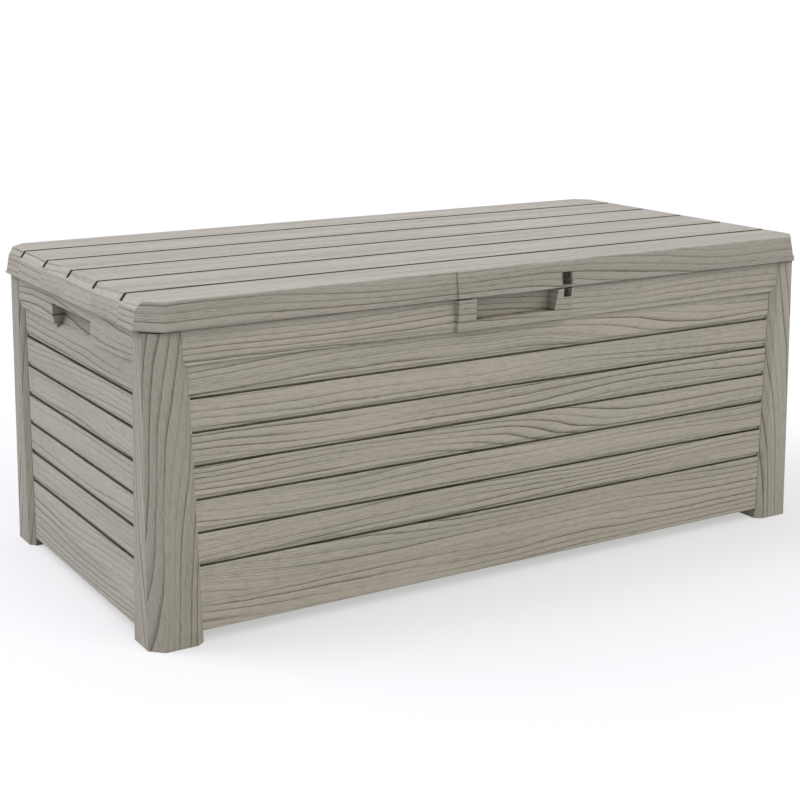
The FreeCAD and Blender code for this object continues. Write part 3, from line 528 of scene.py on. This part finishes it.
    def along_gaps(self, nodes: Nodes) -> Socket:
        """Finds the gaps between the boards of the top, with painted shade along their edges.

        Args:
            nodes: Nodes of the material.

        Returns:
            Darkness of the painted shade in the gaps, 0 to 1.
        """
        start, pitch = self.board
        _, y, z = nodes.parts("Object")
        off_centre = nodes.math("PINGPONG", nodes.math("SUBTRACT", y, start), pitch / 2)
        near = nodes.between(off_centre, *GAP_DARK, self.gap_shade, 0.0)
        return nodes.math("MULTIPLY", near, nodes.math("GREATER_THAN", z, self.gap_floor))

    @staticmethod
    def behind_side(nodes: Nodes) -> Socket:
        """Finds how far the band's hand recess lies behind the leaning side wall.

        Args:
            nodes: Nodes of the material.

        Returns:
            0 at the wall to 1 at the recess's back.
        """
        x, _, z = nodes.parts("Object")
        foot, lean = SIDE_WALL
        behind = nodes.total((nodes.math("ABSOLUTE", x), -1.0), (z, -lean), (1.0, foot))
        deep = nodes.between(behind, *RECESS_DEPTH, 0.0, 1.0)
        return nodes.math("MULTIPLY", deep, nodes.math("GREATER_THAN", z, BAND_FOOT))

    @staticmethod
    def proud_of_wall(nodes: Nodes) -> Socket:
        """Finds what stands in front of the leaning front wall, which is the grip's boss.

        Args:
            nodes: Nodes of the material.

        Returns:
            1 on the boss, 0 elsewhere.
        """
        _, y, z = nodes.parts("Object")
        foot, lean = FRONT_WALL
        ahead = nodes.total((y, 1.0), (z, -lean), (1.0, foot))
        return nodes.math("LESS_THAN", ahead, -BOSS_AHEAD)


@dataclass(frozen=True)
class PlainResin:
    """Plain moulded resin with a fine spark-eroded texture."""

    name: str
    colour: Colour
    darkest: float = 0.85
    roughness: float = 0.6
    spread: float = 0.1
    cloud_scale: float = 9.0
    stipple_scale: float = 900.0
    bump: float = 0.25
    depth: float = 0.0002

    def build(self) -> bpy.types.Material:
        """Builds the material.

        Returns:
            The finished material.
        """
        nodes = MaterialNodes(self.name)
        place = nodes.add("ShaderNodeTexCoord").outputs["Object"]
        cloud = nodes.ramp(nodes.noise(place, 3.0, scale=self.cloud_scale), *CLOUD_STOPS)
        stipple = nodes.noise(place, scale=self.stipple_scale)
        colour = nodes.mix(cloud, darkened(self.colour, self.darkest), self.colour)
        rough = nodes.uneven(stipple, self.roughness, self.spread)
        return nodes.complete(colour, rough, {"Strength": self.bump, "Distance": self.depth,
                                              "Height": stipple})


@dataclass(frozen=True)
class Metal:
    """Bare, plated or coated metal with fine scratches and uneven sheen."""

    name: str
    colour: Colour
    darkest: float = 0.8
    metallic: float = 1.0
    roughness: float = 0.35
    spread: float = 0.2
    scratch: Triple = (60.0, 900.0, 900.0)
    cloud_scale: float = 40.0
    bump: float = 0.2
    depth: float = 0.0001

    def build(self) -> bpy.types.Material:
        """Builds the material.

        Returns:
            The finished material.
        """
        nodes = MaterialNodes(self.name)
        place = nodes.add("ShaderNodeTexCoord").outputs["Object"]
        stretched = nodes.add("ShaderNodeMapping", {"Vector": place, "Scale": self.scratch})
        scratch = nodes.noise(stretched.outputs[0], 3.0)
        cloud = nodes.noise(place, scale=self.cloud_scale)
        colour = nodes.mix(cloud, darkened(self.colour, self.darkest), self.colour)
        nodes.shader.inputs["Metallic"].default_value = self.metallic
        rough = nodes.uneven(scratch, self.roughness, self.spread)
        return nodes.complete(colour, rough, {"Strength": self.bump, "Distance": self.depth,
                                              "Height": scratch})


def dress(piece: bpy.types.Object, material: bpy.types.Material) -> None:
    """Gives a piece one material."""
    piece.data.materials.clear()
    piece.data.materials.append(material)


def only(piece: bpy.types.Object) -> None:
    """Selects one piece alone and makes it the active one.

    Args:
        piece: The piece.
    """
    bpy.ops.object.select_all(action="DESELECT")
    piece.select_set(True)
    bpy.context.view_layer.objects.active = piece


def primitive(add: Callable[..., object], **settings: object) -> bpy.types.Object:
    """Adds a primitive with nothing else selected, its place and size in its mesh.

    Args:
        add: Blender's operator.
        **settings: Settings of the operator.

    Returns:
        The new piece.
    """
    bpy.ops.object.select_all(action="DESELECT")
    add(**settings)
    bpy.ops.object.transform_apply()
    return bpy.context.object


def open_faces(piece: bpy.types.Object,
               wanted: Callable[[bpy.types.MeshPolygon], bool]) -> None:
    """Opens a piece in edit mode with the wanted faces selected.

    Args:
        piece: The piece to work on.
        wanted: Says whether a face is selected.
    """
    only(piece)
    for group in (piece.data.vertices, piece.data.edges):
        for part in group:
            part.select = False
    for face in piece.data.polygons:
        face.select = wanted(face)
    bpy.context.tool_settings.mesh_select_mode = (False, False, True)
    bpy.ops.object.mode_set(mode="EDIT")


def faces_up(face: bpy.types.MeshPolygon) -> bool:
    """Tells whether a face looks up."""
    return face.normal.z > 0.9


def faces_down(face: bpy.types.MeshPolygon) -> bool:
    """Tells whether a face looks down."""
    return face.normal.z < -0.9


def close() -> None:
    """Leaves edit mode with the piece's faces turned outwards."""
    bpy.ops.mesh.select_all(action="SELECT")
    bpy.ops.mesh.normals_make_consistent(inside=False)
    bpy.ops.object.mode_set(mode="OBJECT")


def repeat(pattern: bpy.types.Object, name: str, places: list[Matrix]) -> bpy.types.Object:
    """Copies a pattern to several places as one piece, and removes the pattern.

    Args:
        pattern: The piece as modelled at the origin.
        name: Name of the finished piece.
        places: Where each copy goes.

    Returns:
        The finished piece.
    """
    copies = []
    for place in places:
        mesh = pattern.data.copy()
        mesh.transform(place)
        copy = bpy.data.objects.new(name, mesh)
        bpy.context.scene.collection.objects.link(copy)
        copies.append(copy)
    bpy.data.objects.remove(pattern)
    only(copies[0])
    for copy in copies:
        copy.select_set(True)
    bpy.ops.object.join()
    copies[0].name = name
    return copies[0]


def finish_piece(piece: bpy.types.Object, body: str,
                 material: bpy.types.Material) -> None:
    """Dresses a new piece and lets it ride on its body.

    Args:
        piece: The finished piece.
        body: The body it moves with.
        material: Its finish.
    """
    dress(piece, material)
    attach(piece, body)
    log.info("%s rides on %s: %s", piece.name, body, material.name)


@dataclass
class ScrewSet:
    """Identical pan-head screws with cross recesses, placed by the middle of each crown."""

    node: str
    body: str
    shank: float
    places: list[Triple]
    facing: list[Triple]
    head_radius: float = 0.0040
    head_height: float = 0.0022
    head_sides: int = 24
    crown_round: float = 0.0012
    shank_radius: float = 0.0020
    shank_sides: int = 16
    cross_length: float = 0.0036
    cross_width: float = 0.0009
    cross_depth: float = 0.0015
    cross_taper: float = 0.45
    smooth_below: float = 35.0

    def build(self, material: bpy.types.Material) -> None:
        """Models one screw, sets it in every place and stands it in for the node.

        Args:
            material: Finish of the screws.
        """
        head = self.model_head()
        self.cut_slot(head, self.cross_length, self.cross_width)
        self.cut_slot(head, self.cross_width, self.cross_length)
        primitive(bpy.ops.mesh.primitive_cylinder_add, vertices=self.shank_sides,
                  radius=self.shank_radius, depth=self.shank,
                  location=(0, 0, -self.head_height - self.shank / 2))
        head.select_set(True)
        bpy.context.view_layer.objects.active = head
        bpy.ops.object.join()
        bpy.ops.object.shade_smooth_by_angle(angle=math.radians(self.smooth_below))
        places = [Matrix.Translation(place) @ Vector(facing).to_track_quat("Z", "Y").to_matrix()
                  .to_4x4() for place, facing in zip(self.places, self.facing)]
        piece = repeat(head, self.node + "_cross_heads", places)
        finish_piece(piece, self.body, material)
        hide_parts(self.node)

    def model_head(self) -> bpy.types.Object:
        """Models a pan head, its crown at the origin.

        Returns:
            The head.
        """
        head = primitive(bpy.ops.mesh.primitive_cylinder_add, vertices=self.head_sides,
                         radius=self.head_radius, depth=self.head_height,
                         location=(0, 0, -self.head_height / 2))
        open_faces(head, faces_up)
        bpy.ops.mesh.bevel(offset=self.crown_round, segments=3, affect="EDGES")
        close()
        return head

    def cut_slot(self, head: bpy.types.Object, length: float, width: float) -> None:
        """Cuts one tapered slot of the cross recess.

        Args:
            head: The head to cut.
            length: Size of the slot along X.
            width: Size of the slot along Y.
        """
        cutter = primitive(bpy.ops.mesh.primitive_cube_add, size=1.0,
                           scale=(length, width, self.cross_depth * 2))
        open_faces(cutter, faces_down)
        bpy.ops.transform.resize(value=(self.cross_taper, self.cross_taper, 1.0))
        close()
        only(head)
        cut = head.modifiers.new("slot", "BOOLEAN")
        cut.object = cutter
        cut.operation = "DIFFERENCE"
        cut.solver = "EXACT"
        bpy.ops.object.modifier_apply(modifier=cut.name)
        bpy.data.objects.remove(cutter)


@dataclass
class GapEndWalls:
    """Walls that close the trough of each gap of the lid at both ends, under the end bevel."""

    first_gap: float = -0.2543
    gap_pitch: float = 0.1281
    gaps: int = 5
    middle_x: float = 0.71117
    middle_z: float = 0.576285
    tilt: float = 37.77
    size: Triple = (0.0061, 0.0140, 0.0032)
    edge_round: float = 0.0004

    def build(self, material: bpy.types.Material) -> None:
        """Models one wall, sets it at both ends of each gap and lets them ride on the lid.

        Args:
            material: Finish of the lid.
        """
        wall = primitive(bpy.ops.mesh.primitive_cube_add, size=1.0, scale=self.size)
        open_faces(wall, faces_down)
        bpy.ops.mesh.bevel(offset=self.edge_round, segments=2, affect="EDGES")
        close()
        tilted = Matrix.Rotation(math.radians(self.tilt), 4, "Y")
        leaning = Matrix.Translation((-self.middle_x, 0.0, self.middle_z)) @ tilted
        places = []
        for turn in (0.0, math.pi):
            around = Matrix.Rotation(turn, 4, "Z")
            for number in range(self.gaps):
                y = self.first_gap + number * self.gap_pitch
                places.append(Matrix.Translation((0.0, y, 0.0)) @ around @ leaning)
        piece = repeat(wall, "lid_gap_end_walls", places)
        finish_piece(piece, "lid", material)


@dataclass
class LinerBeads:
    """Raised stiffening beads moulded under the lid's liner, one frame per field."""

    underside: float = 0.5683
    columns: int = 5
    rows: int = 2
    pitch: Pair = (0.248, 0.288)
    field_size: Pair = (0.226, 0.262)
    corner_round: float = 0.016
    middle_y: float = 0.0019
    bead_width: float = 0.011
    bead_height: float = 0.0014
    edge_round: float = 0.0011
    smooth_below: float = 40.0

    def build(self, material: bpy.types.Material) -> None:
        """Models one bead, sets it in every field and lets them ride on the lid.

        Args:
            material: Finish of the liner.
        """
        places = []
        for column in range(self.columns):
            for row in range(self.rows):
                x = (column - (self.columns - 1) / 2) * self.pitch[0]
                y = self.middle_y + (row - (self.rows - 1) / 2) * self.pitch[1]
                places.append(Matrix.Translation((x, y, self.underside)))
        piece = repeat(self.model_bead(), "lid_liner_beads", places)
        finish_piece(piece, "lid", material)

    def model_bead(self) -> bpy.types.Object:
        """Models one frame hanging from the origin's plane.

        Returns:
            The bead.
        """
        bead = primitive(bpy.ops.mesh.primitive_plane_add, size=1.0)
        bead.scale = (self.field_size[0], self.field_size[1], 1.0)
        bpy.ops.object.transform_apply()
        open_faces(bead, lambda face: True)
        bpy.ops.mesh.bevel(offset=self.corner_round, segments=4, affect="VERTICES")
        bpy.ops.mesh.select_all(action="SELECT")
        bpy.ops.mesh.inset(thickness=self.bead_width)
        bpy.ops.mesh.delete(type="FACE")
        bpy.ops.mesh.select_all(action="SELECT")
        down = {"value": (0, 0, -self.bead_height)}
        bpy.ops.mesh.extrude_region_move(TRANSFORM_OT_translate=down)
        close()
        open_faces(bead, faces_down)
        bpy.ops.mesh.region_to_loop()
        bpy.ops.mesh.bevel(offset=self.edge_round, segments=2, affect="EDGES")
        close()
        bpy.ops.object.shade_smooth_by_angle(angle=math.radians(self.smooth_below))
        return bead


@dataclass(frozen=True)
class Lamp:
    """One broad lamp, given by the direction from the chest to it."""

    name: str
    towards: Triple
    strength: float
    width: float
    colour: Triple

    def build(self) -> None:
        """Adds the lamp to the scene."""
        data = bpy.data.lights.new(self.name, "SUN")
        data.energy = self.strength
        data.angle = math.radians(self.width)
        data.color = self.colour
        lamp = bpy.data.objects.new(self.name, data)
        bpy.context.scene.collection.objects.link(lamp)
        lamp.rotation_euler = Vector(self.towards).to_track_quat("Z", "Y").to_euler()


@dataclass
class Studio:
    """Floor, light and camera."""

    camera_place: Triple = (-1.6209, -2.6280, 1.0557)
    target: Triple = (-0.0281, 0.0, 0.2672)
    lens: float = 70.06
    sensor: float = 36.0
    clip_end: float = 200.0
    floor_half: float = 30.0
    floor_drop: float = 0.0005
    floor_grey: float = 0.42
    floor_roughness: float = 0.9
    floor_glow: float = 0.48
    sky: float = 0.5
    sky_tint: Colour = (1.0, 0.99, 0.975, 1.0)
    lamps: list[Lamp] = field(default_factory=lambda: [
        Lamp("overhead", (0.0, 0.1, 1.0), 0.75, 40.0, (0.93, 0.98, 1.25)),
        Lamp("front", (0.3, -0.75, 0.7), 0.95, 50.0, (1.0, 0.98, 0.92)),
        Lamp("left_side", (-0.6, 0.45, 0.7), 1.65, 40.0, (0.98, 0.97, 1.09)),
    ])

    def build(self) -> None:
        """Makes the whole studio."""
        self.place_camera()
        self.make_floor()
        self.make_world()
        for lamp in self.lamps:
            lamp.build()

    def place_camera(self) -> None:
        """Puts the camera where the photograph was taken from."""
        data = bpy.data.cameras.new("camera")
        data.lens = self.lens
        data.sensor_width = self.sensor
        data.clip_end = self.clip_end
        camera = bpy.data.objects.new("camera", data)
        bpy.context.scene.collection.objects.link(camera)
        camera.location = self.camera_place
        look = Vector(self.target) - Vector(self.camera_place)
        camera.rotation_euler = look.to_track_quat("-Z", "Y").to_euler()
        bpy.context.scene.camera = camera

    def make_floor(self) -> None:
        """Lays a pale floor that stays white to the eye and keeps the shadow."""
        bpy.ops.object.select_all(action="DESELECT")
        bpy.ops.mesh.primitive_plane_add(size=2 * self.floor_half,
                                         location=(0, 0, -self.floor_drop))
        floor = bpy.context.object
        floor.name = "floor"
        nodes = MaterialNodes("floor_paper")
        grey = (self.floor_grey, self.floor_grey, self.floor_grey, 1.0)
        nodes.shader.inputs["Base Color"].default_value = grey
        nodes.shader.inputs["Roughness"].default_value = self.floor_roughness
        nodes.shader.inputs["Specular IOR Level"].default_value = 0.0
        path = nodes.add("ShaderNodeLightPath").outputs
        seen = nodes.math("MAXIMUM", path["Is Camera Ray"], path["Is Glossy Ray"])
        seen = nodes.math("MAXIMUM", seen, path["Is Transmission Ray"])
        strength = nodes.math("MULTIPLY", seen, self.floor_glow)
        glow = nodes.add("ShaderNodeEmission", {"Color": WHITE, "Strength": strength})
        both = nodes.add("ShaderNodeAddShader", {0: nodes.shader.outputs[0], 1: glow.outputs[0]})
        nodes.link(both.outputs[0], nodes.output.inputs["Surface"])
        floor.data.materials.append(nodes.material)

    def make_world(self) -> None:
        """Gives an even sky that looks white and lights more gently."""
        world = bpy.data.worlds.new("studio_sky")
        bpy.context.scene.world = world
        nodes = Nodes(world)
        path = nodes.add("ShaderNodeLightPath").outputs
        seen = nodes.math("MAXIMUM", path["Is Camera Ray"], path["Is Transmission Ray"])
        sky = nodes.add("ShaderNodeBackground", {"Color": nodes.mix(seen, self.sky_tint, WHITE),
                                                 "Strength": nodes.choose(seen, self.sky, 1.0)})
        nodes.add("ShaderNodeOutputWorld", {"Surface": sky.outputs[0]})


@dataclass
class Chest:
    """The chest's own nodes with their finishes, and the pieces added to them."""

    hinges: Triple = (-0.48, 0.0, 0.48)
    leaf_holes: Triple = (-0.028, 0.0, 0.028)
    leaf_face: Pair = (0.35561, 0.51394)  # Y and Z of the crowns
    liner_columns: int = 5
    liner_pitch: float = 0.32
    liner_rows: Pair = (-0.312, 0.3158)
    liner_crown: float = 0.5661
    lid_bracket_x: float = 0.6587
    lid_bracket_holes: Pair = (0.262, 0.298)
    lid_bracket_crown: float = 0.5631
    wall_bracket_x: float = 0.69897
    wall_bracket_holes: Pair = (0.182, 0.218)
    wall_bracket_z: float = 0.34348

    def build(self) -> None:
        """Dresses every node and adds the new pieces."""
        finishes = {**self.resins(), **self.metals()}
        for name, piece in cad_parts.items():
            material = finishes[self.finish_of(name)]
            dress(piece, material)
            log.info("%s: %s", name, material.name)
        GapEndWalls().build(finishes["lid"])
        LinerBeads().build(finishes["plain"])
        for screws in self.screw_sets():
            screws.build(finishes["zinc"])

    @staticmethod
    def resins() -> dict[str, bpy.types.Material]:
        """Builds the resin finishes.

        Returns:
            The materials by short name.
        """
        front = WoodLookResin("resin_front", Grain.ALONG_X, (3.1, 0.7), GROOVES, proud_shade=0.10,
                              hollow_shade=0.12, crevice_shade=0.12, face=linear(200, 194, 178),
                              warm=linear(205, 198, 182), cool=linear(194, 189, 174))
        side = WoodLookResin("resin_side", Grain.ALONG_Y, (0.4, 5.3), GROOVES, crevice_shade=0.16,
                             hollow_shade=0.2, recess_shade=0.22)
        post = WoodLookResin("resin_post", Grain.ALONG_Z, (7.9, 1.4), line_pitch=0.014,
                             slope=0.12, sway=4.0, arches=3.2, face=linear(181, 175, 161),
                             warm=linear(185, 178, 164), cool=linear(174, 171, 156))
        paler_post = replace(post, name="resin_post_paler", face=linear(193, 187, 172),
                             warm=linear(197, 190, 175), cool=linear(186, 183, 167))
        lid = WoodLookResin("resin_lid", Grain.LID, (11.5, 2.9), SLAT_GAPS, crevice_shade=0.12,
                            gap_floor=GAP_FLOOR, face=linear(185, 179, 167),
                            warm=linear(190, 183, 170), cool=linear(178, 175, 162))
        plain = PlainResin("resin_plain", linear(128, 124, 114))
        return {"front": front.build(), "side": side.build(), "post": post.build(),
                "paler_post": paler_post.build(), "lid": lid.build(), "plain": plain.build()}

    @staticmethod
    def metals() -> dict[str, bpy.types.Material]:
        """Builds the metal finishes.

        Returns:
            The materials by short name.
        """
        coated = Metal("coated_steel", linear(52, 52, 53), metallic=0.3, roughness=0.5)
        zinc = Metal("zinc_steel", linear(186, 188, 190), roughness=0.38)
        black = Metal("strut_black", linear(30, 30, 31), metallic=0.2, roughness=0.4)
        chrome = Metal("rod_chrome", linear(225, 226, 228), roughness=0.14)
        return {"coated": coated.build(), "zinc": zinc.build(), "black": black.build(),
                "chrome": chrome.build()}

    @staticmethod
    def finish_of(name: str) -> str:
        """Picks a node's finish by the first of these words in its name.

        Args:
            name: The node.

        Returns:
            Short name of the finish.
        """
        words = {"screws": "zinc", "_pin": "zinc", "stiffener": "zinc", "front_panel": "front",
                 "back_panel": "front", "_panel": "side", "post_front_right": "paler_post",
                 "post_": "post", "lid_shell": "lid", "floor_": "plain", "lid_liner": "plain",
                 "_eye": "black", "_tube": "black", "_rod": "chrome"}
        return next((finish for word, finish in words.items() if word in name), "coated")

    def screw_sets(self) -> list[ScrewSet]:
        """Places the screws that can be seen.

        Returns:
            The sets, one per node.
        """
        down, back = (0.0, 0.0, -1.0), (0.0, 1.0, 0.0)
        hinges = [(middle + hole, *self.leaf_face) for middle in self.hinges
                  for hole in self.leaf_holes]
        first = (1 - self.liner_columns) // 2
        liner = [((first + column) * self.liner_pitch, y, self.liner_crown)
                 for column in range(self.liner_columns) for y in self.liner_rows]
        under_lid = [(side * self.lid_bracket_x, y, self.lid_bracket_crown)
                     for side in (-1, 1) for y in self.lid_bracket_holes]
        walls = [(side * self.wall_bracket_x, y, self.wall_bracket_z)
                 for side in (-1, 1) for y in self.wall_bracket_holes]
        inwards = [(-side, 0.0, 0.0) for side in (-1.0, 1.0) for _ in self.wall_bracket_holes]
        return [
            ScrewSet("hinge_body_screws", "base", 0.00556, hinges, [back] * len(hinges)),
            ScrewSet("lid_liner_screws", "lid", 0.0117, liner, [down] * len(liner)),
            ScrewSet("strut_lid_screws", "lid", 0.006, under_lid, [down] * len(under_lid)),
            ScrewSet("strut_body_screws", "base", 0.00562, walls, inwards),
        ]


def main() -> None:
    """Builds the scene in order."""
    logging.basicConfig(level=logging.INFO, format="%(name)s: %(message)s")
    bpy.context.scene.view_settings.view_transform = "Standard"
    Studio().build()
    Chest().build()


if __name__ == "__main__":
    main()
